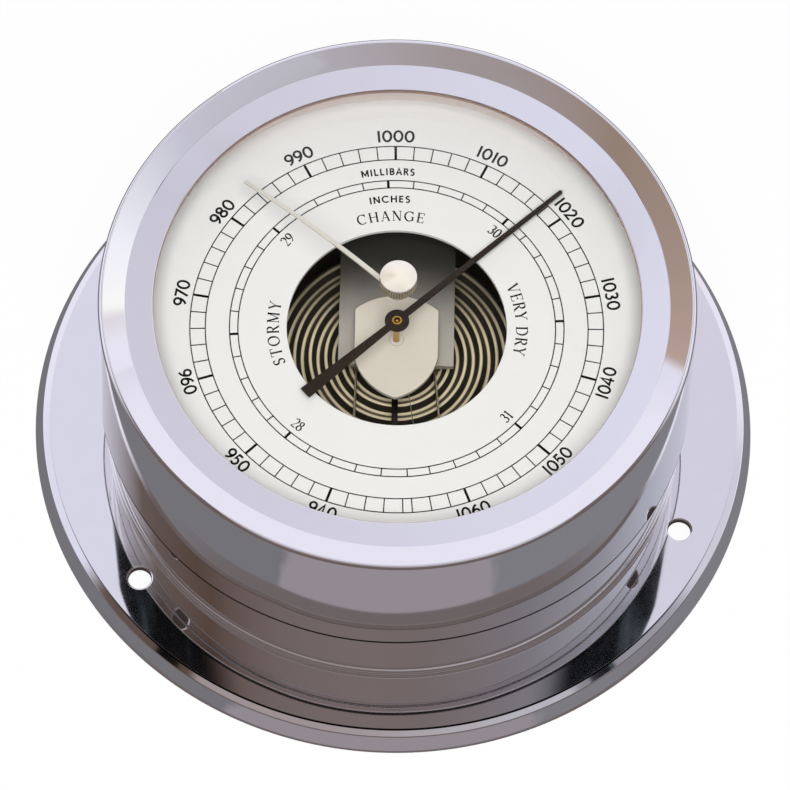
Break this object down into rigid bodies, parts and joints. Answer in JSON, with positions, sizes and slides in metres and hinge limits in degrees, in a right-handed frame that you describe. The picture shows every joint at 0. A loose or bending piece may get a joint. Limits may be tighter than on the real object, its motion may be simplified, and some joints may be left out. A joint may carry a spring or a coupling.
{
  "type": "ship barometer",
  "caption": "Round chromed ship barometer with a flanged wall base, domed glass, open white dial, aneroid movement, pointer and set hand with knob.",
  "frame": {"origin": "centre of the back plane that meets the wall", "axes": "+Z out of the dial, +Y to twelve o'clock on the scale, +X to three o'clock"},
  "size_m": [0.125, 0.125, 0.0557],
  "materials": {
    "chrome": "polished plating",
    "glass": "clear domed",
    "gasket": "soft seal",
    "cream": "matt cream paint",
    "white": "satin white paint with printed scales",
    "steel": "turned and nickelled",
    "brass": "turned, unlacquered",
    "capsule": "darkened bronze sheet",
    "zinc": "plated sheet",
    "nickel": "matt nickel",
    "black": "black-brown enamel",
    "blued": "blued strip",
    "dark_steel": "dark oxide",
    "wire": "drawn wire",
    "silk": "waxed thread",
    "knob": "knurled and plated",
    "hand": "satin",
    "washer": "plain"
  },
  "bodies": {
    "case": {"case_body": "chrome", "bezel": "chrome", "domed_glass": "glass", "glass_gasket": "gasket", "retaining_ring": "cream", "dial": "white", "back_plate": "steel", "back_screws": "steel", "movement_base": "brass", "movement_pillars": "brass", "pillar_screws": "steel", "base_screws": "steel", "capsule_lower": "capsule", "capsule_foot": "brass", "capsule_nut": "steel", "bridge": "zinc", "bridge_posts": "brass", "bridge_screws": "steel", "post_screws": "steel", "shield_plate": "nickel", "shield_pillars": "brass", "lower_bearing": "brass", "upper_bearing": "nickel", "hairspring": "blued", "hairspring_stud": "brass", "rocker_bearings": "brass", "bearing_screws": "steel"},
    "pointer_train": {"pointer": "black", "pointer_bush": "brass", "pointer_arbor": "brass", "thread_drum": "brass", "hairspring_collet": "brass"},
    "capsule_head": {"capsule_upper": "capsule", "capsule_stud": "brass"},
    "lever": {"lever_bar": "dark_steel", "lever_pin": "steel", "wire_stirrup": "wire", "link_pin": "steel"},
    "link": {"link_rod": "steel"},
    "rocker": {"rocker_shaft": "steel", "rocker_arm": "brass", "thread_arm": "brass"},
    "thread_run": {"thread": "silk", "thread_ferrule": "brass"},
    "adjuster": {"adjusting_screw": "brass"},
    "set_hand_group": {"set_knob": "knob", "set_axle": "steel", "set_hand": "hand", "hand_washer": "washer", "knob_washer": "washer"}
  },
  "joints": [
    {"name": "pointer_turn", "type": "hinge", "parent": "case", "child": "pointer_train", "pos_m": [0, 0, 0.0391], "axis": [0, 0, 1], "range_deg": [-129, 228]},
    {"name": "set_hand_turn", "type": "hinge", "parent": "case", "child": "set_hand_group", "pos_m": [0, 0, 0.052], "axis": [0, 0, 1], "continuous": true},
    {"name": "adjuster_turn", "type": "hinge", "parent": "case", "child": "adjuster", "pos_m": [0, 0, 0.0095], "axis": [0, 0, 1], "range_deg": [-180, 180]},
    {"name": "capsule_breath", "type": "slide", "parent": "case", "child": "capsule_head", "axis": [0, 0, 1], "range_m": [-0.0001155, 0.00020415], "deforming": ["capsule_upper"]},
    {"name": "lever_rock", "type": "hinge", "parent": "case", "child": "lever", "pos_m": [0, -0.003, 0.028], "axis": [1, 0, 0], "range_deg": [-2.25, 3.98]},
    {"name": "link_rise", "type": "slide", "parent": "case", "child": "link", "axis": [0, 0, 1], "range_m": [-0.00145, 0.00082]},
    {"name": "rocker_turn", "type": "hinge", "parent": "case", "child": "rocker", "pos_m": [0, -0.0279, 0.02265], "axis": [1, 0, 0], "range_deg": [-20.8, 11.77]},
    {"name": "thread_pull", "type": "slide", "parent": "case", "child": "thread_run", "axis": [0.1613, -0.9869, 0], "range_m": [-0.00294, 0.00167]}
  ],
  "couplings": [
    {"joint": "pointer_turn", "follows": "capsule_breath", "rad_per_m": 19473},
    {"joint": "lever_rock", "follows": "capsule_breath", "rad_per_m": 333.33},
    {"joint": "link_rise", "follows": "capsule_breath", "ratio": -6.9667},
    {"joint": "rocker_turn", "follows": "capsule_breath", "rad_per_m": -1741.7},
    {"joint": "thread_pull", "follows": "capsule_breath", "ratio": -14.118}
  ]
}
